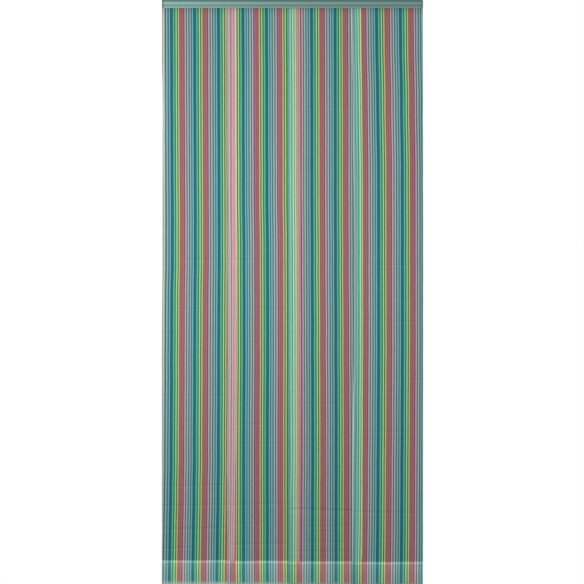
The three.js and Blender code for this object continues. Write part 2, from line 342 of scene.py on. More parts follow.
def moulded_plastic():
    """Matt moulded ABS: a fine even grain, and slightly lighter and darker clouds."""
    material, tree = new_material("matt moulded plastic")
    place = add_node(tree, "ShaderNodeTexCoord").outputs["Object"]
    clouds = add_node(
        tree, "ShaderNodeTexNoise", {"Vector": place, "Scale": 1 / (CAP_CLOUD_SIZE * MM), "Detail": 2.0}
    ).outputs["Fac"]
    darkest, palest = CAP_CLOUD_TONES
    tone = add_node(tree, "ShaderNodeMapRange", {"Value": clouds, "To Min": darkest, "To Max": palest})
    colour = add_node(
        tree,
        "ShaderNodeVectorMath",
        {0: linear(CAP_COLOUR)[:3], 1: tone.outputs["Result"]},
        operation="MULTIPLY",
    )
    grain = add_node(
        tree, "ShaderNodeTexNoise", {"Vector": place, "Scale": 1 / (CAP_GRAIN_SIZE * MM)}
    ).outputs["Fac"]
    relief = add_node(tree, "ShaderNodeBump", {"Height": grain, "Strength": 0.3, "Distance": 0.04 * MM})
    plastic = add_node(
        tree,
        "ShaderNodeBsdfPrincipled",
        {
            "Base Color": colour.outputs["Vector"],
            "Roughness": 0.6,
            "IOR": 1.53,
            "Normal": relief.outputs["Normal"],
        },
    )
    add_node(tree, "ShaderNodeOutputMaterial", {"Surface": plastic.outputs["BSDF"]})
    return material


cap_finish = moulded_plastic()
for side in ("left", "right"):
    cap = rounded_copy(f"end_cap_{side}", f"{side}_cap", CAP_EDGE_ROUNDING, CAP_EDGE_STEPS)
    cap.data.materials.append(cap_finish)
    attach(cap, "root")
    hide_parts(f"end_cap_{side}")

# Cloth strips
# Four lengths of woven voile with stripes along the warp. Each has narrow side hems turned to the
# back, a deep bottom hem with a turn-in, and a heading rolled to a bead that runs in the rail.

# How far the cloth's middle stands in front of the rail's back, as in the CAD solids. Its left edge
# is further forward than its right one by the slant, in the rail's slot and below, so strips can lap.
CHANNEL_PLANE = 13.5
SLOT_SLANT = 1.9
HANGING_SLANT = 6.8
SLANT_GROWTH = 240
CLOTH_THICKNESS = 0.32
LAYER_PITCH = 0.4
# One wave runs through all the strips and grows below the rail. Each strip adds its own.
SHARED_LENGTH = 168
SHARED_SWING = 3.4
SHARED_FORWARD = 2.6
SHARED_LEAN = 46
WAVE_GROWTH = 520

# A value at a strip's left edge and at its right one, at a drop
Sides = namedtuple("Sides", "drop left right")
# A packing crease: its drop, its two ends, how much lower its right end lies, how far forward it
# stands, and how far it reaches above and below
Crease = namedtuple("Crease", "drop start end rise depth above below")

STRIPS = [
    {
        "name": "strip_1",
        # The drop of the bottom fold, and the hem's height above it
        "drop": 2015.6,
        "hem": 82.2,
        # The height of the paler band at the bottom fold
        "fold_band": 10.2,
        # The strip's own wave. Its crests drift sideways by the lean, from the rail to the hem.
        "wave_length": 118,
        "wave_swing": 2.5,
        "wave_start": 20,
        "wave_lean": -38,
        "edges": [
            Sides(0, -444.2, -195.0),
            Sides(28.9, -444.2, -195.0),
            Sides(30.4, -450.0, -194.9),
            Sides(200, -449.6, -194.7),
            Sides(345, -447.4, -194.4),
            Sides(862, -448.0, -192.6),
            Sides(1207, -450.2, -193.2),
            Sides(1483, -450.5, -195.2),
            Sides(1724, -450.6, -198.5),
            Sides(2020, -451.2, -201.2),
        ],
        # How much cloth is rolled back out of sight at each edge
        "rolled": [Sides(0, 0, 0), Sides(1207, 0.6, 0), Sides(1552, 2.4, 0), Sides(2020, 8.5, 0)],
        # 1 where the right side of the cloth faces forward and -1 where the wrong side does
        "pattern_side": 1,
        # Where each repeat of the stripes starts. The first one starts past the edge, because the
        # cloth is drawn a fifth wider there.
        "repeats": [-523.4, -426.1, -346.7, -264.3],
        # How far the stripes lie to the right of that at each edge
        "drift": [
            Sides(0, -0.9, -0.7),
            Sides(345, 0.2, 0.4),
            Sides(483, 1.1, 0.6),
            Sides(758, 2.8, 1.2),
            Sides(896, 2.6, 1.5),
            Sides(1034, 0.1, 0.9),
            Sides(1310, -0.6, 0.4),
            Sides(1586, -1.9, -0.7),
            Sides(1724, -3.7, -1.9),
            Sides(1850, -6.1, -3.9),
            Sides(2020, -8.4, -5.6),
        ],
        # How far the hem's back layer lies askew, and the painted light and shade on the cloth at each edge
        "hem_slip": 2.0,
        "shade": [
            Sides(0, 1.01, 1.01),
            Sides(600, 1.035, 1.01),
            Sides(1400, 1.03, 1.035),
            Sides(1750, 0.965, 1.015),
            Sides(2020, 1.0, 1.02),
        ],
        "creases": [
            Crease(188, -300, -210, -4, 0.6, 7, 7),
            Crease(206, -440, -390, 2, -0.5, 7, 9),
            Crease(275, -436, -230, 3, -0.35, 7, 9),
            Crease(330, -430, -215, -3, -0.55, 7, 9),
            Crease(830, -446, -395, 0, -0.5, 7, 9),
            Crease(896, -380, -225, -4, -0.5, 7, 9),
            Crease(911, -430, -222, 2, 0.5, 8, 8),
            Crease(944, -350, -250, 0, -0.4, 7, 9),
            Crease(1065, -446, -300, 4, -0.6, 7, 9),
            Crease(1151, -450, -390, 3, -0.6, 7, 9),
            Crease(1182, -446, -240, 2, -0.4, 7, 9),
            Crease(1365, -446, -225, 2, -0.35, 7, 9),
            Crease(1453, -420, -330, 0, -0.5, 7, 9),
            Crease(1675, -450, -212, -4, -0.75, 7, 12),
            Crease(1743, -450, -230, -5, -0.75, 7, 10),
            Crease(1792, -440, -250, 0, -0.4, 7, 9),
            Crease(1823, -440, -215, -6, -1.1, 8, 13),
            Crease(1892, -450, -335, -2, -0.9, 8, 8),
        ],
    },
    {
        "name": "strip_2",
        "drop": 2015.8,
        "hem": 80.7,
        "fold_band": 8.8,
        "wave_length": 104,
        "wave_swing": 2.1,
        "wave_start": 61,
        "wave_lean": 30,
        "edges": [
            Sides(0, -227.2, 25.5),
            Sides(345, -225.4, 25.9),
            Sides(862, -223.4, 26.9),
            Sides(1207, -222.8, 28.4),
            Sides(1620, -225.0, 27.2),
            Sides(1850, -224.8, 26.0),
            Sides(2020, -225.2, 25.0),
        ],
        "rolled": [Sides(0, 0, 0), Sides(2020, 0, 0)],
        "pattern_side": -1,
        "repeats": [-160.2, -79.2, 1.8],
        "drift": [
            Sides(0, -1.5, -1.4),
            Sides(345, -0.2, -0.2),
            Sides(690, 0.8, 0.3),
            Sides(862, 2.7, 2.2),
            Sides(1207, 3.2, 2.5),
            Sides(1552, 1.2, 2.0),
            Sides(2020, 0.4, 3.1),
        ],
        "hem_slip": -1.5,
        "shade": [
            Sides(0, 1.03, 1.03),
            Sides(900, 1.03, 1.015),
            Sides(1400, 1.01, 0.995),
            Sides(1750, 1.01, 0.975),
            Sides(2020, 1.05, 1.02),
        ],
        "creases": [
            Crease(196, -195, -10, 0, -0.7, 8, 8),
            Crease(330, -200, -15, 0, -0.55, 7, 9),
            Crease(603, -195, 20, 0, -0.4, 8, 8),
            Crease(899, -215, -120, 0, -0.6, 7, 9),
            Crease(1055, -195, -30, 0, 0.4, 8, 8),
            Crease(1181, -195, -105, 2, -0.5, 7, 9),
            Crease(1465, -205, -95, 0, -0.7, 7, 9),
            Crease(1532, -200, -10, 0, -0.5, 7, 9),
            Crease(1739, -230, 25, -8, -0.95, 7, 11),
            Crease(1806, -220, -60, 0, -0.45, 7, 9),
            Crease(1878, -215, -15, -2, -1.1, 8, 9),
        ],
    },
    {
        "name": "strip_3",
        "drop": 2016.0,
        "hem": 79.0,
        "fold_band": 7.3,
        "wave_length": 126,
        "wave_swing": 2.6,
        "wave_start": 12,
        "wave_lean": 52,
        "edges": [
            Sides(0, -13.6, 237.4),
            Sides(345, -13.4, 238.4),
            Sides(862, -12.0, 240.2),
            Sides(1600, -9.6, 241.8),
            Sides(1850, -13.0, 242.4),
            Sides(1905, -13.0, 242.0),
            Sides(1950, -12.9, 237.4),
            Sides(2020, -12.8, 236.0),
        ],
        "rolled": [Sides(0, 0, 0), Sides(2020, 0, 0)],
        "pattern_side": 1,
        "repeats": [-23.6, 56.8, 137.5, 217.8],
        "drift": [
            Sides(0, -1.0, 0.0),
            Sides(345, 0.3, 0.3),
            Sides(483, 0.9, 0.7),
            Sides(620, 0.5, 0.5),
            Sides(896, 2.3, 1.2),
            Sides(1172, 2.9, 2.4),
            Sides(1586, 3.3, 4.0),
            Sides(1724, 2.4, 4.0),
            Sides(1900, 1.8, 4.2),
            Sides(2020, 1.2, 4.4),
        ],
        "hem_slip": 2.5,
        "shade": [
            Sides(0, 1.01, 1.01),
            Sides(1000, 1.015, 1.0),
            Sides(1400, 1.01, 0.97),
            Sides(1700, 1.01, 0.955),
            Sides(2020, 1.0, 0.97),
        ],
        "creases": [
            Crease(240, -15, 65, -14, 0.8, 8, 8),
            Crease(372, 20, 230, 0, -0.6, 8, 10),
            Crease(1203, -10, 22, 0, -0.6, 12, 20),
            Crease(1352, -8, 45, 0, -0.5, 7, 9),
            Crease(1356, 160, 232, -3, -0.6, 7, 9),
            Crease(1392, 25, 215, 0, -0.5, 8, 9),
            Crease(1489, 25, 70, 0, -0.5, 7, 9),
            Crease(1516, 30, 200, 0, -0.6, 7, 9),
            Crease(1613, 30, 180, 0, -0.4, 7, 9),
            Crease(1759, -14, 234, 6, -1.6, 8, 22),
            Crease(1816, 30, 200, -4, -0.6, 8, 10),
            Crease(1833, 80, 150, 0, -0.5, 7, 8),
            Crease(1870, 40, 190, 0, -0.5, 8, 12),
            Crease(1903, -10, 234, 3, -1.0, 8, 8),
        ],
    },
    {
        "name": "strip_4",
        "drop": 2016.2,
        "hem": 77.7,
        "fold_band": 4.2,
        "wave_length": 112,
        "wave_swing": 2.2,
        "wave_start": 84,
        "wave_lean": -44,
        "edges": [
            Sides(0, 201.8, 444.2),
            Sides(28.9, 201.8, 444.2),
            Sides(30.4, 201.9, 449.4),
            Sides(345, 208.3, 450.6),
            Sides(862, 212.2, 451.4),
            Sides(1207, 211.8, 451.2),
            Sides(1552, 206.4, 450.8),
            Sides(2020, 205.0, 450.4),
        ],
        "rolled": [
            Sides(0, 0, 0),
            Sides(345, 0, 1.0),
            Sides(862, 0, 4.0),
            Sides(1379, 0, 3.4),
            Sides(1900, 0, 0),
        ],
        "pattern_side": 1,
        "repeats": [204.9, 284.0, 366.1, 446.7],
        "drift": [
            Sides(0, -5.0, -3.4),
            Sides(155, -3.3, -2.3),
            Sides(345, 0.4, 0.4),
            Sides(620, 3.0, 3.3),
            Sides(1172, 3.6, 3.8),
            Sides(1448, 2.3, 2.7),
            Sides(1724, 0.3, 1.7),
            Sides(2020, -2.6, 0.6),
        ],
        "hem_slip": 1.5,
        "shade": [
            Sides(0, 1.03, 1.06),
            Sides(900, 1.05, 1.07),
            Sides(1400, 1.025, 1.06),
            Sides(1850, 1.025, 1.055),
            Sides(2020, 1.0, 1.01),
        ],
        "creases": [
            Crease(218, 225, 440, 2, -0.7, 8, 9),
            Crease(316, 340, 440, 0, -0.4, 7, 9),
            Crease(358, 285, 345, 0, -0.5, 7, 8),
            Crease(637, 235, 400, 0, -0.6, 8, 9),
            Crease(914, 250, 410, 4, -0.9, 7, 9),
            Crease(1030, 350, 392, 0, -0.6, 7, 8),
            Crease(1108, 216, 440, 5, -0.7, 8, 11),
            Crease(1215, 285, 400, 0, -0.6, 8, 10),
            Crease(1311, 400, 440, 3, -0.6, 7, 9),
            Crease(1352, 240, 410, 0, -0.5, 7, 9),
            Crease(1492, 235, 410, 3, -0.6, 7, 9),
            Crease(1520, 240, 395, 0, -0.4, 7, 9),
            Crease(1767, 212, 330, 2, -1.2, 8, 12),
            Crease(1770, 330, 440, 2, -0.6, 8, 12),
            Crease(1854, 280, 350, 0, -0.5, 7, 9),
        ],
    },
]


def ease(value, start, end):
    """0 before start, 1 after end, and a smooth curve between them."""
    share = min(1.0, max(0.0, (value - start) / (end - start)))
    return share * share * (3 - 2 * share)


def between(rows, drop):
    """The left and right values of a table at a drop, eased between its rows."""
    after = next((i for i, row in enumerate(rows) if row.drop >= drop), len(rows) - 1)
    after = max(1, after)
    above, below = rows[after - 1], rows[after]
    share = ease(drop, above.drop, below.drop)
    return (
        above.left + (below.left - above.left) * share,
        above.right + (below.right - above.right) * share,
    )


def flat_edges(strip, drop):
    """Where the strip's two folded edges would lie if none of it were rolled back."""
    left, right = between(strip["edges"], drop)
    rolled_left, rolled_right = between(strip["rolled"], drop)
    return left - rolled_left, right + rolled_right


# A rolled-back edge turns through an arc of this radius. Less hidden cloth than this lies flat.
ROLL_RADIUS = 10
LEAST_ROLLED = 0.05
ROLL_PASSES = 6


def roll_angle(hidden):
    """The angle through which an edge turns when it hides that much cloth."""
    share = hidden / ROLL_RADIUS
    # angle - sin(angle) is close to angle ** 3 / 6 while the angle is small
    angle = (6 * share) ** (1 / 3)
    for _ in range(ROLL_PASSES):
        angle -= (angle - math.sin(angle) - share) / (1 - math.cos(angle))
    return angle


def roll_back(x, edge, hidden, side):
    """Rolls a place on the flat strip back near one edge. Gives its x, its depth and its turn."""
    if hidden < LEAST_ROLLED:
        return x, 0.0, 0.0
    angle = roll_angle(hidden)
    inset = (x - edge) * side
    if inset >= ROLL_RADIUS * angle:
        return x, 0.0, 0.0
    turn = angle - inset / ROLL_RADIUS
    start = edge + side * ROLL_RADIUS * angle
    return start - side * ROLL_RADIUS * math.sin(turn), ROLL_RADIUS * (math.cos(turn) - 1), -side * turn


def place_on_roll(strip, x, drop, left, right):
    """Rolls a flat place back at whichever edge is nearer."""
    rolled_left, rolled_right = between(strip["rolled"], drop)
    if x < (left + right) / 2:
        return roll_back(x, left, rolled_left, 1)
    return roll_back(x, right, rolled_right, -1)


# A crease fades out past its ends, by these shares of its length
CREASE_PAST_END = 0.15
CREASE_FULL_FROM = 0.12
# Small puckers reach in from each side hem's seam
SIDE_HEM = 9.6
SEAM_INSET = 8.4
SIDE_PUCKER_DEPTH = 0.5
SIDE_PUCKER_LENGTH = 13
SIDE_PUCKER_REACH = 26


def crease_relief(strip, x, drop):
    """How far the packing creases push the cloth forward here: soft troughs and ridges."""
    relief = 0.0
    for crease in strip["creases"]:
        share = (x - crease.start) / (crease.end - crease.start)
        distance = drop - crease.drop - crease.rise * (share - 0.5)
        reach = crease.below if distance > 0 else crease.above
        beyond = max(-share, share - 1)
        if abs(distance) >= reach or beyond >= CREASE_PAST_END:
            continue
        ends = 1 - ease(beyond, -CREASE_FULL_FROM, CREASE_PAST_END)
        relief += crease.depth * ends * (1 - ease(abs(distance), 0, reach))
    return relief


def out_at(strip, x, drop, left, right):
    """How far the cloth's middle surface stands out from the rail's back face."""
    growth = ease(drop, RAIL_HEIGHT, RAIL_HEIGHT + WAVE_GROWTH)
    slant = SLOT_SLANT + (HANGING_SLANT - SLOT_SLANT) * ease(drop, RAIL_HEIGHT, RAIL_HEIGHT + SLANT_GROWTH)
    down = drop / strip["drop"]
    across = min(1.0, max(0.0, (x - left) / (right - left)))
    shared = math.sin(math.tau * (x + SHARED_LEAN * down) / SHARED_LENGTH)
    own = math.sin(math.tau * (x + strip["wave_start"] + strip["wave_lean"] * down) / strip["wave_length"])
    waves = SHARED_FORWARD + SHARED_SWING * shared + strip["wave_swing"] * math.sin(math.pi * across) * own
    near_seam = 1 - ease(min(x - left, right - x), SIDE_HEM, SIDE_HEM + SIDE_PUCKER_REACH)
    pucker = noise.noise(Vector((strip["wave_start"] + round(across), drop / SIDE_PUCKER_LENGTH, 0)))
    creases = crease_relief(strip, x, drop) + growth * SIDE_PUCKER_DEPTH * near_seam * pucker
    return CHANNEL_PLANE + slant * (0.5 - across) + growth * waves + creases


# Rows and columns of the sheet. A row is a place along the warp and a column one across it. The
# sheet is folded twice: its columns over each side hem, then its rows over the bottom hem.
Row = namedtuple("Row", "drop ahead facing_ahead facing_down along height folded_up tail_drop")
Column = namedtuple("Column", "share shift ahead facing_x facing_ahead across flap")

# A strip's flat width is its width at this drop
WIDTH_DROP = 345
# The bottom hem's raw edge is turned in by this much
TURN_IN = 16
TURN_IN_STEPS = 6
BEAD_RADIUS = 2.0
BEAD_DROP = 24.6
BEAD_STEPS = 14
# Where round the bead its cloth starts and ends, in degrees from its lowest point
BEAD_START = 25
BEAD_END = 330
# The cloth leaves the bead a little below it and ahead of its middle
NECK_BELOW_BEAD = 0.5
NECK_AHEAD = 0.35
NECK_DROP = 29.2
NECK_STEP = 1.3
# Where the next strip's heading laps this one, the bead is cut away. Its rows lie close together
# there, in the rail's slot, from a little before that heading starts.
TAIL_TOP = 27.4
TAIL_ROW_STEP = 0.1
TAIL_MARGIN = 4.5
# How far apart the rows and columns lie: closer at creases, at the hem's seam and at its fold
ROW_STEP = 7.0
FINE_ROW_STEP = 2.2
COLUMN_STEP = 3.9
SEAM_ROW_STEP = 1.6
SEAM_ROWS_ABOVE = 5
SEAM_ROWS_BELOW = 20
HEM_ROW_STEP = 5.5
FOLD_ROWS_FROM = 13
FOLD_ROW_STEP = 2.6
FOLD_STEPS = 4
# How far the hem's back layer and the turn-in inside it lie behind its front layer
POCKET_DEPTH = 5 * LAYER_PITCH
TURN_IN_DEPTH = 2 * LAYER_PITCH


def steps(start, end, count):
    """Evenly spaced values from start to end, both included."""
    return [start + (end - start) * i / count for i in range(count + 1)]


def columns_of(strip):
    """The strip's columns from the raw edge of one side hem, over both folds, to that of the other."""
    left, right = flat_edges(strip, WIDTH_DROP)
    width = right - left
    radius = LAYER_PITCH / 2
    arc = math.pi * radius
    # The left side hem, of which the right one is a mirror image
    half = []
    for inset in (SIDE_HEM, SEAM_INSET, SEAM_INSET / 2, radius):
        half.append(Column(0, inset, -LAYER_PITCH, 0.0, -1.0, -arc - inset + radius, True))
    for angle in steps(0, math.pi, FOLD_STEPS)[1:-1]:
        shift = radius - radius * math.sin(angle)
        ahead = -radius - radius * math.cos(angle)
        across = radius * angle - arc
        half.append(Column(0, shift, ahead, -math.sin(angle), -math.cos(angle), across, angle < math.pi / 2))
    mirrored = [
        Column(1, -c.shift, c.ahead, -c.facing_x, c.facing_ahead, width - c.across, c.flap)
        for c in reversed(half)
    ]
    body = []
    at_seam = SEAM_INSET / width
    inner = steps(at_seam, 1 - at_seam, round((width - 2 * SEAM_INSET) / COLUMN_STEP))
    for share in [0, at_seam / 2] + inner + [1 - at_seam / 2, 1]:
        shift = radius * (1 - 2 * share)
        body.append(Column(share, shift, 0.0, 0.0, 1.0, width * share + shift, False))
    return half + body + mirrored


def body_drops(strip, start, end):
    """The drops of the sheet's rows between two drops, close together at each crease."""
    drops = [start, start + NECK_STEP]
    while drops[-1] < end:
        here = drops[-1]
        fine = any(
            -c.above - abs(c.rise) / 2 - ROW_STEP < here - c.drop < c.below + abs(c.rise) / 2
            for c in strip["creases"]
        )
        drops.append(here + (FINE_ROW_STEP if fine else ROW_STEP))
    drops[-1] = end
    return drops


def hem_heights(strip):
    """The heights of the hem's rows above its bottom fold, close together at the seam and the fold."""
    top = strip["hem"] + SEAM_ROWS_ABOVE
    seam_end = strip["hem"] - SEAM_ROWS_BELOW
    seam = steps(top, seam_end, round((top - seam_end) / SEAM_ROW_STEP))
    lower = steps(seam_end, FOLD_ROWS_FROM, round((seam_end - FOLD_ROWS_FROM) / HEM_ROW_STEP))
    fold = steps(FOLD_ROWS_FROM, POCKET_DEPTH / 2, round(FOLD_ROWS_FROM / FOLD_ROW_STEP))
    return seam + lower[1:] + fold[1:]


def rows_of(strip):
    """The strip's rows from the bead's loose end down to the bottom fold and up its hem."""
    bottom = strip["drop"] - CLOTH_THICKNESS / 2
    fold = POCKET_DEPTH / 2
    inner_fold = (POCKET_DEPTH - TURN_IN_DEPTH) / 2
    hem_top = bottom - strip["hem"]
    path = []
    for angle in steps(math.radians(BEAD_START), math.radians(BEAD_END), BEAD_STEPS):
        path.append((BEAD_DROP + BEAD_RADIUS * math.cos(angle), -BEAD_RADIUS * math.sin(angle), False))
    path.append((BEAD_DROP + BEAD_RADIUS + NECK_BELOW_BEAD, NECK_AHEAD, False))
    bead_rows = len(path)
    heights = hem_heights(strip)
    for drop in body_drops(strip, NECK_DROP, bottom - heights[0])[:-1]:
        path.append((drop, 0.0, False))
    for height in heights:
        path.append((bottom - height, 0.0, False))
    for angle in steps(0, math.pi, FOLD_STEPS)[1:-1]:
        ahead = fold * math.cos(angle) - fold
        path.append((bottom - fold + fold * math.sin(angle), ahead, angle > math.pi / 2))
    for height in reversed([h for h in heights if h < strip["hem"] - inner_fold]):
        path.append((bottom - height, -POCKET_DEPTH, True))
    for angle in steps(0, math.pi, FOLD_STEPS)[1:-1]:
        drop = hem_top + inner_fold - inner_fold * math.sin(angle)
        path.append((drop, -POCKET_DEPTH + inner_fold * (1 - math.cos(angle)), True))
    for drop in steps(hem_top + inner_fold, hem_top + inner_fold + TURN_IN, TURN_IN_STEPS):
        path.append((drop, -TURN_IN_DEPTH, True))
    rows = []
    along = 0.0
    for i, (drop, ahead, folded_up) in enumerate(path):
        before = path[max(0, i - 1)]
        after = path[min(len(path) - 1, i + 1)]
        down = Vector((after[0] - before[0], after[1] - before[1])).normalized()
        along += math.hypot(drop - before[0], ahead - before[1])
        tail_drop = TAIL_TOP + i * TAIL_ROW_STEP if i < bead_rows else None
        rows.append(Row(drop, ahead, down.x, -down.y, along, bottom - drop, folded_up, tail_drop))
    return rows


# The bottom hem's seam draws the cloth into a shallow groove with small puckers
SEAM_BELOW_TOP = 13.5
SEAM_GROOVE = 0.45
SEAM_GROOVE_REACH = 3.4
PUCKER_DEPTH = 0.22
PUCKER_LENGTH = 9
PUCKER_HEIGHT = 40
PUCKER_FULL_WITHIN = 2
PUCKER_REACH = 13.6
# Slight ripples run down each edge
RIPPLE = 0.45
RIPPLE_LENGTH = 75
RIPPLE_STARTS = 60
RIPPLE_FULL_FROM = 200


def seam_relief(x, height, hem):
    """How far the hem's seam draws the cloth back, with small puckers between its stitches."""
    aside = abs(hem - SEAM_BELOW_TOP - height)
    near = 1 - ease(aside, 0, SEAM_GROOVE_REACH)
    wide = 1 - ease(aside, PUCKER_FULL_WITHIN, PUCKER_REACH)
    pucker = noise.noise(Vector((x / PUCKER_LENGTH, height / PUCKER_HEIGHT, 0)))
    return PUCKER_DEPTH * wide * pucker - SEAM_GROOVE * near


def cloth_point(index, row, column, lift):
    """The place of a row and column, lifted off the middle surface towards the cloth's right side."""
    strip = STRIPS[index]
    left, right = flat_edges(strip, row.drop)
    x = left + (right - left) * column.share + column.shift
    next_left = flat_edges(STRIPS[index + 1], row.drop)[0] if index + 1 < len(STRIPS) else math.inf
    if row.tail_drop and x > next_left - TAIL_MARGIN:
        row = row._replace(drop=row.tail_drop, ahead=0.0, facing_ahead=1.0, facing_down=0.0)
        out = out_at(strip, x, row.drop, left, right)
    elif row.tail_drop:
        out = CHANNEL_PLANE
    else:
        out = out_at(strip, x, row.drop, left, right) + seam_relief(x, row.height, strip["hem"])
    x, rolled, turn = place_on_roll(strip, x, row.drop, left, right)
    offset = column.ahead + lift * column.facing_ahead
    x += lift * column.facing_x * math.cos(turn) + offset * math.sin(turn)
    ripple = noise.noise(Vector((index, row.drop / RIPPLE_LENGTH, column.share)))
    x += RIPPLE * ease(row.drop, RIPPLE_STARTS, RIPPLE_FULL_FROM) * ripple
    ahead = row.ahead + row.facing_ahead * offset * math.cos(turn) + rolled
    drop = row.drop + row.facing_down * offset
    return Vector((x, -(out + ahead), rail_top - drop))


# The stripes. The warp is charted from the left edge of the sky-blue stripe on.
Yarn = namedtuple("Yarn", "name width colour")
YARNS = [
    Yarn("sky", 4.3, "75B7BD"),
    Yarn("petrol blue", 4.6, "206D78"),
    Yarn("petrol green", 5.4, "297475"),
    Yarn("mint", 4.9, "6BB89B"),
    Yarn("deep green", 4.3, "2F7F4D"),
    Yarn("lime", 4.1, "A5DEA9"),
    Yarn("olive", 4.1, "57703A"),
    Yarn("sand", 4.1, "CAC199"),
    Yarn("brown", 3.8, "92654F"),
    Yarn("brick", 3.8, "AC706B"),
    Yarn("rose", 3.4, "9F5E66"),
    Yarn("mauve", 4.6, "A67586"),
    Yarn("dark mauve", 3.8, "7B5365"),
    Yarn("silver", 4.3, "C2B2B8"),
    Yarn("dark grey", 4.3, "606D6C"),
    Yarn("aqua", 4.6, "9EBFBE"),
    Yarn("slate", 4.5, "4D7275"),
    Yarn("blue-grey", 4.1, "94B9C0"),
    Yarn("slate blue", 4.0, "3B7176"),
]
REPEAT = sum(yarn.width for yarn in YARNS)

# How much of the turned-back selvedge shows through at each strip's left edge, and at right edges
LEFT_SELVEDGE_SHOWS = (0.32, 0.26, 0.37, 0.42)
RIGHT_SELVEDGE_SHOWS = 0.06
# A lapped edge's selvedge shows less towards the hem, and least of all inside it
LAP_DULLS = 0.35
LAP_DULLS_FROM = 1450
LAP_DULLS_IN_HEM = 0.6
LAP_DULLS_WITHIN = 3
# How much of the strip behind shows through in each lap
LAP_SHOWS = (0.55, 0.36, 0.37)
# A painted shadow darkens the cloth just under the rail
RAIL_PAINTED_SHADOW = 0.13
RAIL_PAINTED_SHADOW_REACH = 28
# Painted light and shade on creases: a crease's flank is painted lighter where it faces up and darker where
# it faces down, by its slope
CREASE_PAINTED_SHADE = 0.33
STEEPEST_SLOPE = 0.4
SLOPE_STEP = 0.5
# A hem is painted lighter under its top edge, as painted light. Its bottom fold is paler, and painted light
# and shade make it lighter on the left strips and darker on the right
HEM_PAINTED_LIGHT = 0.1
HEM_PAINTED_LIGHT_FROM = 4
HEM_PAINTED_LIGHT_UP_TO = 55
FOLD_FADES_BELOW = 4
FOLD_FADES_ABOVE = 2
FOLD_PALENESS = 0.65
FOLD_PAINTED_LIGHT = (1.2, 1.03, 0.8, 0.54)
# How far a place lies inside the neighbouring strip, where there is none
NO_LAP = -100.0
# The mesh attributes that hold what stripe_facts gives
FACT_NAMES = ("own_stripes", "beside_stripes", "cloth_reach", "layer_shares")


def pattern_at(strip, x, drop):
    """The place in the chart, in millimetres, of the yarn that lies at x."""
    left, right = flat_edges(strip, drop)
    drift_left, drift_right = between(strip["drift"], drop)
    x -= drift_left + (drift_right - drift_left) * (x - left) / (right - left)
    starts = strip["repeats"]
    if x < starts[0]:
        turns = (x - starts[0]) / REPEAT
    elif x >= starts[-1]:
        turns = len(starts) - 1 + (x - starts[-1]) / REPEAT
    else:
        after = next(i for i, start in enumerate(starts) if start > x)
        turns = after - 1 + (x - starts[after - 1]) / (starts[after] - starts[after - 1])
    return turns * REPEAT * strip["pattern_side"]


def painted_shade_at(strip, row, column, left, right):
    """The painted light and shade here: the strip's own, then the rail's painted shadow, a crease's and the
    hem's.
    """
    x = left + (right - left) * column.share + column.shift
    shade_left, shade_right = between(strip["shade"], row.drop)
    shade = shade_left + (shade_right - shade_left) * column.share
    # Painted shadow under the rail
    shade *= 1 - RAIL_PAINTED_SHADOW * (1 - ease(row.drop, RAIL_HEIGHT, RAIL_HEIGHT + RAIL_PAINTED_SHADOW_REACH))
    # Painted light and shade on the creases' flanks, by their slope
    above, below = (
        out_at(strip, x, row.drop + step, left, right) for step in (-SLOPE_STEP, SLOPE_STEP)
    )
    slope = (below - above) / (2 * SLOPE_STEP)
    shade *= 1 + CREASE_PAINTED_SHADE * max(-STEEPEST_SLOPE, min(STEEPEST_SLOPE, slope))
    # Painted light in the hem, lightest under its top edge
    inside_hem = strip["hem"] - row.height
    painted_light = ease(inside_hem, 0, HEM_PAINTED_LIGHT_FROM) * (1 - ease(inside_hem, SEAM_BELOW_TOP, HEM_PAINTED_LIGHT_UP_TO))
    return shade * (1 + HEM_PAINTED_LIGHT * painted_light)


def stripe_facts(index, row, column):
    """What the material needs at a point: the stripes of each layer there and how far they reach.

    own is the pattern's place in this layer, in the body behind a side hem, and in the bottom hem.
    beside is the pattern's place in the strip next to this one, and how far inside it that lies.
    reach is the distance inside the side fold, which is below 0 on the side hem itself, then the
    distance below the bottom hem's top, and the painted light and shade. shares are how much the
    turned-back selvedge and the strip behind show here, and how pale the bottom fold is.
    """
    strip = STRIPS[index]
    left, right = flat_edges(strip, row.drop)
    near_left = column.share < 0.5
    edge = left if near_left else right
    x = left + (right - left) * column.share + column.shift
    own_x = 2 * edge - x if column.flap else x
    slip = strip["hem_slip"] * min(1.0, row.height / strip["hem"]) * (-1 if row.folded_up else 1)
    own = pattern_at(strip, own_x, row.drop)
    if row.folded_up:
        own -= slip
    mirrored = pattern_at(strip, 2 * edge - own_x, row.drop)
    inset = own_x - edge if near_left else edge - own_x
    neighbour = index - 1 if near_left else index + 1
    beside = (0.0, 0.0, NO_LAP)
    lap_share = 0.0
    if 0 <= neighbour < len(STRIPS):
        other = STRIPS[neighbour]
        other_left, other_right = flat_edges(other, row.drop)
        other_edge = other_right if near_left else other_left
        lap = other_edge - x if near_left else x - other_edge
        beside = (pattern_at(other, x, row.drop), 0.0, lap)
        lap_share = LAP_SHOWS[min(index, neighbour)]
    inside_hem = strip["hem"] - row.height
    selvedge_share = LEFT_SELVEDGE_SHOWS[index] if near_left else RIGHT_SELVEDGE_SHOWS
    if index > 0:
        selvedge_share *= 1 - LAP_DULLS * ease(row.drop, LAP_DULLS_FROM, strip["drop"] - strip["hem"])
        selvedge_share *= 1 - LAP_DULLS_IN_HEM * ease(inside_hem, 0, LAP_DULLS_WITHIN)
    above_band = row.height - strip["fold_band"]
    fold_share = FOLD_PALENESS * (1 - ease(above_band, -FOLD_FADES_BELOW, FOLD_FADES_ABOVE))
    # The bottom fold's pale band gets painted light on the left strips and painted shade on the right
    shade = painted_shade_at(strip, row, column, left, right) * (1 + fold_share * (FOLD_PAINTED_LIGHT[index] - 1))
    return (
        (own, mirrored, own + slip),
        beside,
        (inset, inside_hem, shade),
        (selvedge_share, lap_share, fold_share),
    )


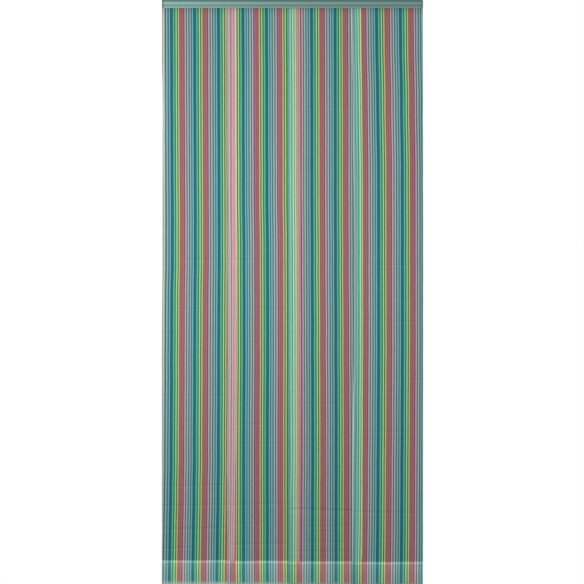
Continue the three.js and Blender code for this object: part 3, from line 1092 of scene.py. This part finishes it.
# The sheet's map for baked colour has the right side in its left half, the wrong side in its right
# half, and the four narrow rims in the margins.
MAP_START = (0.005, 0.006)
MAP_SIZE = (0.485, 0.988)
WRONG_SIDE_SHIFT = 0.505
RIM_STARTS = {"left": 0.0005, "right": 0.4915, "top": 0.0005, "bottom": 0.9955}
SIDE_RIM_WIDTH = 0.003
END_RIM_WIDTH = 0.004


def sheet_faces(rows, columns):
    """The faces of a closed sheet, and the place of each corner on its map for baked colour."""
    width = columns[-1].across - columns[0].across
    length = rows[-1].along
    faces = []
    corners = []

    def add(points, rim=None):
        faces.append([(side * len(rows) + row) * len(columns) + column for side, row, column in points])
        for side, row, column in points:
            u = MAP_START[0] + MAP_SIZE[0] * (columns[column].across - columns[0].across) / width
            v = MAP_START[1] + MAP_SIZE[1] * rows[row].along / length
            if rim in ("left", "right"):
                u = RIM_STARTS[rim] + SIDE_RIM_WIDTH * side
            elif rim:
                v = RIM_STARTS[rim] + END_RIM_WIDTH * side
            else:
                u += WRONG_SIDE_SHIFT * side
            corners.append((u, v))

    last_row = len(rows) - 1
    last = len(columns) - 1
    for row in range(last_row):
        below = row + 1
        for column in range(last):
            beside = column + 1
            add([(0, row, column), (0, below, column), (0, below, beside), (0, row, beside)])
            add([(1, row, column), (1, row, beside), (1, below, beside), (1, below, column)])
        add([(0, row, 0), (1, row, 0), (1, below, 0), (0, below, 0)], "left")
        add([(0, row, last), (0, below, last), (1, below, last), (1, row, last)], "right")
    for column in range(last):
        beside = column + 1
        add([(0, 0, column), (0, 0, beside), (1, 0, beside), (1, 0, column)], "top")
        add(
            [(0, last_row, column), (1, last_row, column), (1, last_row, beside), (0, last_row, beside)],
            "bottom",
        )
    return faces, corners


# The cloth's shading breaks where it turns by more than this
CLOTH_CORNER_DEGREES = 65


def make_strip(index):
    """One strip as a closed thin sheet with its hems turned, and the facts that its stripes need."""
    strip = STRIPS[index]
    rows = rows_of(strip)
    columns = columns_of(strip)
    points = []
    for lift in (CLOTH_THICKNESS / 2, -CLOTH_THICKNESS / 2):
        for row in rows:
            for column in columns:
                points.append(cloth_point(index, row, column, lift))
    faces, corners = sheet_faces(rows, columns)
    piece = new_piece(f"voile_{strip['name']}", points, faces)
    mesh = piece.data
    facts = [stripe_facts(index, row, column) for row in rows for column in columns]
    for part, name in enumerate(FACT_NAMES):
        values = [value for fact in facts for value in fact[part]]
        attribute = mesh.attributes.new(name, "FLOAT_VECTOR", "POINT")
        # The wrong side has the same facts as the right side
        attribute.data.foreach_set("vector", values * 2)
    threads = mesh.uv_layers.new(name="threads")
    places = []
    for loop in mesh.loops:
        row, column = divmod(loop.vertex_index % len(facts), len(columns))
        places += (columns[column].across * MM, rows[row].along * MM)
    threads.data.foreach_set("uv", places)
    bake = mesh.uv_layers.new(name="OFBake")
    bake.data.foreach_set("uv", [value for corner in corners for value in corner])
    threads.active_render = True
    mesh.shade_smooth()
    mesh.set_sharp_from_angle(angle=math.radians(CLOTH_CORNER_DEGREES))
    return piece


# How much of each hidden layer's colour adds to the one in front. A third and fourth layer add
# little, so the strip behind is lost where a hem already backs the front one. The side hems are
# the cloth's own plain pale selvedges, turned back.
SELVEDGE_COLOUR = "C6C2AA"
BODY_SHOWS = 0.4
POCKET_SHOWS = 0.24
POCKET_PALENESS = 0.05
TURN_IN_SHOWS = 0.2
TURN_IN_PALENESS = 0.16
# The turn-in shows less towards its raw edge: down to a fifth, between these shares of its depth
TURN_IN_FADE = (1 / 3, 0.7)
TURN_IN_FAINTEST = 0.2
LAP_PALENESS = 0.07
LAP_IN_SIDE_HEM = 0.4
LAPPED_SELVEDGE_SHOWS = 0.04
# Each seam makes a darker line, partly from its needle holes and drawn-in cloth and partly painted shade for
# the groove it draws, and the hem's bottom fold is paler
SEAM_LINE_WIDTH = 2.6
SIDE_SEAM_THREAD_AND_SHADE = 0.78
BOTTOM_SEAM_THREAD_AND_SHADE = 0.86
FOLD_COLOUR = "A3BEB0"
# The weave is drawn about twice as coarse as real, so that it holds in the picture
YARN_SPACING = 0.9
WEFT_SPACING = 0.9
# Faint bars run across the cloth where a weft yarn is thicker or thinner
WEFT_BAR_SPACING = 4.5
WEFT_BAR_LENGTH = 111
WEFT_BAR_TONES = (0.98, 1.02)
# A yarn is slightly thicker and paler along its slubs
SLUB_WIDTH = 2.2
SLUB_LENGTH = 48
SLUB_TONES = (0.87, 1.11)


def warp_chart():
    """A node group that turns a place in the chart into the colour of the yarn there."""
    chart = bpy.data.node_groups.new("warp chart", "ShaderNodeTree")
    chart.interface.new_socket("Place", in_out="INPUT", socket_type="NodeSocketFloat")
    chart.interface.new_socket("Colour", in_out="OUTPUT", socket_type="NodeSocketColor")
    place = add_node(chart, "NodeGroupInput").outputs["Place"]
    turns = add_node(chart, "ShaderNodeMath", {0: place, 1: REPEAT}, operation="DIVIDE").outputs[0]
    share = add_node(chart, "ShaderNodeMath", {0: turns}, operation="FRACT").outputs[0]
    yarns = add_node(chart, "ShaderNodeValToRGB", {"Fac": share})
    bands = []
    start = 0.0
    for yarn in YARNS:
        bands.append((start / REPEAT, yarn.colour))
        start += yarn.width
    set_bands(yarns.color_ramp, bands)
    add_node(chart, "NodeGroupOutput", {"Colour": yarns.outputs["Color"]})
    return chart


def layer_areas(tree, inset, in_depth, lap):
    """Where the layers of a strip lie over each other. Each area is 1 inside it and 0 outside."""
    area = {}
    for name, value, test, limit in (
        ("side hem", inset, "LESS_THAN", 0.0),
        ("body", inset, "GREATER_THAN", 0.0),
        ("near the fold", inset, "LESS_THAN", SIDE_HEM),
        ("clear of the side hem", inset, "GREATER_THAN", SIDE_HEM),
        ("bottom hem", in_depth, "GREATER_THAN", 0.0),
        ("above the bottom hem", in_depth, "LESS_THAN", 0.0),
        ("as deep as the turn-in", in_depth, "LESS_THAN", TURN_IN),
        ("where strips lap", lap, "GREATER_THAN", 0.0),
        ("near the lap's edge", lap, "LESS_THAN", SIDE_HEM),
    ):
        area[name] = add_node(tree, "ShaderNodeMath", {0: value, 1: limit}, operation=test).outputs[0]
    fade_start, fade_end = TURN_IN_FADE
    area["towards the hem's top"] = add_node(
        tree,
        "ShaderNodeMapRange",
        {
            "Value": in_depth,
            "From Min": fade_start * TURN_IN,
            "From Max": fade_end * TURN_IN,
            "To Min": 1.0,
            "To Max": TURN_IN_FAINTEST,
        },
    ).outputs["Result"]
    # These lie where two of the others meet
    for name, first, second in (
        ("body over side hem", "body", "near the fold"),
        ("turn-in", "bottom hem", "as deep as the turn-in"),
        ("fading turn-in", "turn-in", "towards the hem's top"),
        ("lap", "where strips lap", "above the bottom hem"),
        ("plain lap", "lap", "clear of the side hem"),
        ("hemmed lap", "lap", "body over side hem"),
        ("lap over side hem", "plain lap", "near the lap's edge"),
    ):
        area[name] = add_node(
            tree, "ShaderNodeMath", {0: area[first], 1: area[second]}, operation="MULTIPLY"
        ).outputs[0]
    return area


def hidden_layers(tree, colour, layers):
    """The front layer's colour with a share of each hidden layer's added to it, in that one's area."""
    for layer, area, share in layers:
        amount = add_node(tree, "ShaderNodeMath", {0: area, 1: share}, operation="MULTIPLY").outputs[0]
        colour = add_node(
            tree, "ShaderNodeVectorMath", {0: layer, 1: amount, 2: colour}, operation="MULTIPLY_ADD"
        ).outputs[0]
    return colour


def seam_thread_and_shade(tree, colour, inset, in_depth):
    """The colour with the darker line that each seam makes, down the side hems and across the bottom, partly
    painted shade.
    """
    # Painted shade along each seam's groove, with its denser stitched cloth
    for value, middle, darkest in (
        (inset, SEAM_INSET, SIDE_SEAM_THREAD_AND_SHADE),
        (in_depth, SEAM_BELOW_TOP, BOTTOM_SEAM_THREAD_AND_SHADE),
    ):
        aside = add_node(tree, "ShaderNodeMath", {0: value, 1: middle}, operation="SUBTRACT").outputs[0]
        aside = add_node(tree, "ShaderNodeMath", {0: aside}, operation="ABSOLUTE").outputs[0]
        tone = add_node(
            tree,
            "ShaderNodeMapRange",
            {"Value": aside, "From Min": 0.0, "From Max": SEAM_LINE_WIDTH, "To Min": darkest, "To Max": 1.0},
            interpolation_type="SMOOTHSTEP",
        ).outputs["Result"]
        colour = add_node(
            tree, "ShaderNodeVectorMath", {0: colour, "Scale": tone}, operation="SCALE"
        ).outputs[0]
    return colour


def yarn_tones(tree, colour, threads):
    """The colour with the uneven tones of slubbed warp yarns, and of thicker or thinner weft yarns."""
    for across, along, (darkest, palest) in (
        (SLUB_WIDTH, SLUB_LENGTH, SLUB_TONES),
        (WEFT_BAR_LENGTH, WEFT_BAR_SPACING, WEFT_BAR_TONES),
    ):
        scale = (1 / (across * MM), 1 / (along * MM), 1.0)
        place = add_node(tree, "ShaderNodeMapping", {"Vector": threads, "Scale": scale}).outputs["Vector"]
        streaks = add_node(
            tree,
            "ShaderNodeTexNoise",
            {"Vector": place, "Scale": 1.0, "Detail": 2.0},
            noise_dimensions="2D",
        ).outputs["Fac"]
        tone = add_node(
            tree, "ShaderNodeMapRange", {"Value": streaks, "To Min": darkest, "To Max": palest}
        ).outputs["Result"]
        colour = add_node(
            tree, "ShaderNodeVectorMath", {0: colour, "Scale": tone}, operation="SCALE"
        ).outputs[0]
    return colour


def plain_weave(tree, threads):
    """The fine relief of a plain weave, whose yarns pass over and under each other in turn."""
    axes = add_node(tree, "ShaderNodeSeparateXYZ", {0: threads}).outputs
    waves = []
    for axis, spacing in (("X", YARN_SPACING), ("Y", WEFT_SPACING)):
        phase = add_node(
            tree, "ShaderNodeMath", {0: axes[axis], 1: math.tau / (spacing * MM)}, operation="MULTIPLY"
        ).outputs[0]
        waves.append(add_node(tree, "ShaderNodeMath", {0: phase}, operation="SINE").outputs[0])
    weave = add_node(tree, "ShaderNodeMath", {0: waves[0], 1: waves[1]}, operation="MULTIPLY").outputs[0]
    relief = add_node(tree, "ShaderNodeBump", {"Height": weave, "Strength": 0.15, "Distance": 0.02 * MM})
    return relief.outputs["Normal"]


def voile():
    """Dyed cotton voile: matt, thin enough for a layer behind it to show, with slightly uneven yarns, and
    its colour scaled by painted light and shade.
    """
    material, tree = new_material("sheer striped cotton voile")
    facts = []
    for name in FACT_NAMES:
        vector = add_node(tree, "ShaderNodeAttribute", attribute_name=name).outputs["Vector"]
        facts.append(add_node(tree, "ShaderNodeSeparateXYZ", {0: vector}).outputs.values())
    own_place, body_place, pocket_place = facts[0]
    beside_place, _, lap = facts[1]
    inset, in_depth, shade = facts[2]
    selvedge_share, lap_share, fold_share = facts[3]
    chart = warp_chart()
    front, body, pocket, strip_behind = (
        add_node(tree, "ShaderNodeGroup", {"Place": place}, node_tree=chart).outputs["Colour"]
        for place in (own_place, body_place, pocket_place, beside_place)
    )
    selvedge = linear(SELVEDGE_COLOUR)
    area = layer_areas(tree, inset, in_depth, lap)
    colour = add_node(
        tree, "ShaderNodeMixRGB", {"Fac": area["side hem"], "Color1": front, "Color2": selvedge}
    ).outputs["Color"]
    lap_in_hem_share = add_node(
        tree, "ShaderNodeMath", {0: lap_share, 1: LAP_IN_SIDE_HEM}, operation="MULTIPLY"
    ).outputs[0]
    colour = hidden_layers(
        tree,
        colour,
        (
            (selvedge[:3], area["body over side hem"], selvedge_share),
            (body, area["side hem"], BODY_SHOWS),
            (pocket, area["bottom hem"], POCKET_SHOWS),
            (selvedge[:3], area["bottom hem"], POCKET_PALENESS),
            (pocket, area["fading turn-in"], TURN_IN_SHOWS),
            (selvedge[:3], area["fading turn-in"], TURN_IN_PALENESS),
            (strip_behind, area["plain lap"], lap_share),
            (strip_behind, area["hemmed lap"], lap_in_hem_share),
            (selvedge[:3], area["plain lap"], LAP_PALENESS),
            (selvedge[:3], area["lap over side hem"], LAPPED_SELVEDGE_SHOWS),
        ),
    )
    colour = seam_thread_and_shade(tree, colour, inset, in_depth)
    colour = add_node(
        tree, "ShaderNodeMixRGB", {"Fac": fold_share, "Color1": colour, "Color2": linear(FOLD_COLOUR)}
    ).outputs["Color"]
    # Painted light and shade, from the strips' own tables, the rail's painted shadow, the creases, the hem
    # and the fold
    colour = add_node(
        tree, "ShaderNodeVectorMath", {0: colour, "Scale": shade}, operation="SCALE"
    ).outputs[0]
    threads = add_node(tree, "ShaderNodeUVMap", uv_map="threads").outputs["UV"]
    colour = yarn_tones(tree, colour, threads)
    cloth = add_node(
        tree,
        "ShaderNodeBsdfPrincipled",
        {
            "Base Color": colour,
            "Roughness": 0.9,
            "Specular IOR Level": 0.12,
            "Normal": plain_weave(tree, threads),
        },
    )
    add_node(tree, "ShaderNodeOutputMaterial", {"Surface": cloth.outputs["BSDF"]})
    return material


# Seams
# Each strip is machine-stitched in one run down both side hems and across the bottom hem, with
# polyester thread that shows on both sides as short raised stitches.
STITCH_SPACING = 3.5
STITCH_LENGTH = 2.7
# The smallest and the largest stitch, as shares of the usual one
STITCH_SIZES = (0.88, 1.12)
STITCH_SEED = 4
THREAD_WIDTH = 0.42
# How much of its width a thread's middle stands proud of the cloth
THREAD_PROUD = 0.1
THREAD_COLOUR = "71857F"
THREAD_TWIST = 0.556
THREAD_TONES = (0.8, 1.2)


def sewing_thread():
    """Matt spun polyester thread, with a fine twist along it."""
    material, tree = new_material("spun polyester sewing thread")
    place = add_node(tree, "ShaderNodeTexCoord").outputs["Object"]
    twist = add_node(
        tree, "ShaderNodeTexNoise", {"Vector": place, "Scale": 1 / (THREAD_TWIST * MM)}
    ).outputs["Fac"]
    darkest, palest = THREAD_TONES
    tone = add_node(
        tree, "ShaderNodeMapRange", {"Value": twist, "To Min": darkest, "To Max": palest}
    ).outputs["Result"]
    colour = add_node(
        tree, "ShaderNodeVectorMath", {0: linear(THREAD_COLOUR)[:3], "Scale": tone}, operation="SCALE"
    ).outputs[0]
    thread = add_node(tree, "ShaderNodeBsdfPrincipled", {"Base Color": colour, "Roughness": 0.75})
    add_node(tree, "ShaderNodeOutputMaterial", {"Surface": thread.outputs["BSDF"]})
    return material


def stitch_tree():
    """A tree of geometry nodes that lays a stitch at every step along each seam line."""
    tree = bpy.data.node_groups.new("machine stitches", "GeometryNodeTree")
    for name, kind in (
        ("Seams", "NodeSocketGeometry"),
        ("Spacing", "NodeSocketFloat"),
        ("Stitch size", "NodeSocketVector"),
        ("Thread", "NodeSocketMaterial"),
        ("Seed", "NodeSocketInt"),
    ):
        tree.interface.new_socket(name, in_out="INPUT", socket_type=kind)
    tree.interface.new_socket("Stitches", in_out="OUTPUT", socket_type="NodeSocketGeometry")
    given = add_node(tree, "NodeGroupInput").outputs
    line = add_node(tree, "GeometryNodeMeshToCurve", {"Mesh": given["Seams"]}).outputs["Curve"]
    marks = add_node(
        tree, "GeometryNodeResampleCurve", {"Curve": line, "Length": given["Spacing"]}, mode="LENGTH"
    ).outputs["Curve"]
    along = add_node(tree, "GeometryNodeInputTangent").outputs["Tangent"]
    turn = add_node(
        tree, "FunctionNodeAlignRotationToVector", {"Vector": along}, axis="Z"
    ).outputs["Rotation"]
    smallest, largest = STITCH_SIZES
    vary = add_node(
        tree,
        "FunctionNodeRandomValue",
        {2: smallest, 3: largest, "Seed": given["Seed"]},
        data_type="FLOAT",
    ).outputs[1]
    size = add_node(
        tree, "ShaderNodeVectorMath", {0: given["Stitch size"], "Scale": vary}, operation="SCALE"
    ).outputs[0]
    stitch = add_node(
        tree, "GeometryNodeMeshUVSphere", {"Segments": 5, "Rings": 3, "Radius": 0.5}
    ).outputs["Mesh"]
    laid = add_node(
        tree,
        "GeometryNodeInstanceOnPoints",
        {"Points": marks, "Instance": stitch, "Rotation": turn, "Scale": size},
    ).outputs["Instances"]
    real = add_node(tree, "GeometryNodeRealizeInstances", {"Geometry": laid}).outputs["Geometry"]
    sewn = add_node(tree, "GeometryNodeSetMaterial", {"Geometry": real, "Material": given["Thread"]})
    add_node(tree, "NodeGroupOutput", {"Stitches": sewn.outputs["Geometry"]})
    return tree


def seam_columns(columns):
    """The column of each side seam on the front of the cloth, and on its hem's flap behind."""
    # A raw edge lies as far outside its fold on the left, below 0, as on the right
    width = columns[0].across + columns[-1].across
    found = []

    def from_seam(column):
        place = column.share * width + column.shift
        return abs(min(place, width - place) - SEAM_INSET)

    for flap in (False, True):
        for share in (0, 1):
            near = [c for c in columns if c.flap == flap and round(c.share) == share]
            found.append(min(near, key=from_seam))
    return found


def seam_lines(index):
    """The lines that a strip's stitches follow, just clear of the cloth on both of its sides."""
    rows = rows_of(STRIPS[index])
    columns = columns_of(STRIPS[index])
    proud = CLOTH_THICKNESS / 2 + THREAD_PROUD * THREAD_WIDTH
    lines = []
    below_rail = [row for row in rows if row.tail_drop is None]
    hung = [row for row in below_rail if not row.folded_up]
    pocket = [row for row in below_rail if row.folded_up and row.ahead != -TURN_IN_DEPTH]
    for column in seam_columns(columns):
        lines.append([cloth_point(index, row, column, proud) for row in hung])
    body = [column for column in columns if not column.flap]
    seam = STRIPS[index]["hem"] - SEAM_BELOW_TOP
    for level in (hung, pocket):
        nearest = min(level, key=lambda row: abs(row.height - seam))
        lines.append([cloth_point(index, nearest, column, proud) for column in body])
    return lines


def stitch_strip(index, stitches, thread):
    """The stitches of one strip, laid along its seam lines as one mesh."""
    points = []
    edges = []
    for line in seam_lines(index):
        edges += [(len(points) + i, len(points) + i + 1) for i in range(len(line) - 1)]
        points += line
    piece = new_piece(f"stitching_{index + 1}", points, [], edges)
    sewing = piece.modifiers.new("stitches", "NODES")
    sewing.node_group = stitches
    values = {
        "Spacing": STITCH_SPACING * MM,
        "Stitch size": (THREAD_WIDTH * MM, THREAD_WIDTH * MM, STITCH_LENGTH * MM),
        "Thread": thread,
        "Seed": STITCH_SEED + index,
    }
    for socket in stitches.interface.items_tree:
        if socket.name in values:
            sewing[socket.identifier] = values[socket.name]
    seam_mesh = piece.data
    mesh = bpy.data.meshes.new_from_object(piece.evaluated_get(bpy.context.evaluated_depsgraph_get()))
    piece.modifiers.clear()
    piece.data = mesh
    bpy.data.meshes.remove(seam_mesh)
    mesh.shade_smooth()
    return piece


cloth_finish = voile()
thread = sewing_thread()
stitches = stitch_tree()
for index, strip in enumerate(STRIPS):
    piece = make_strip(index)
    piece.data.materials.append(cloth_finish)
    stitching = stitch_strip(index, stitches, thread)
    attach(piece, "root")
    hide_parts(strip["name"])
    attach(stitching, "root")
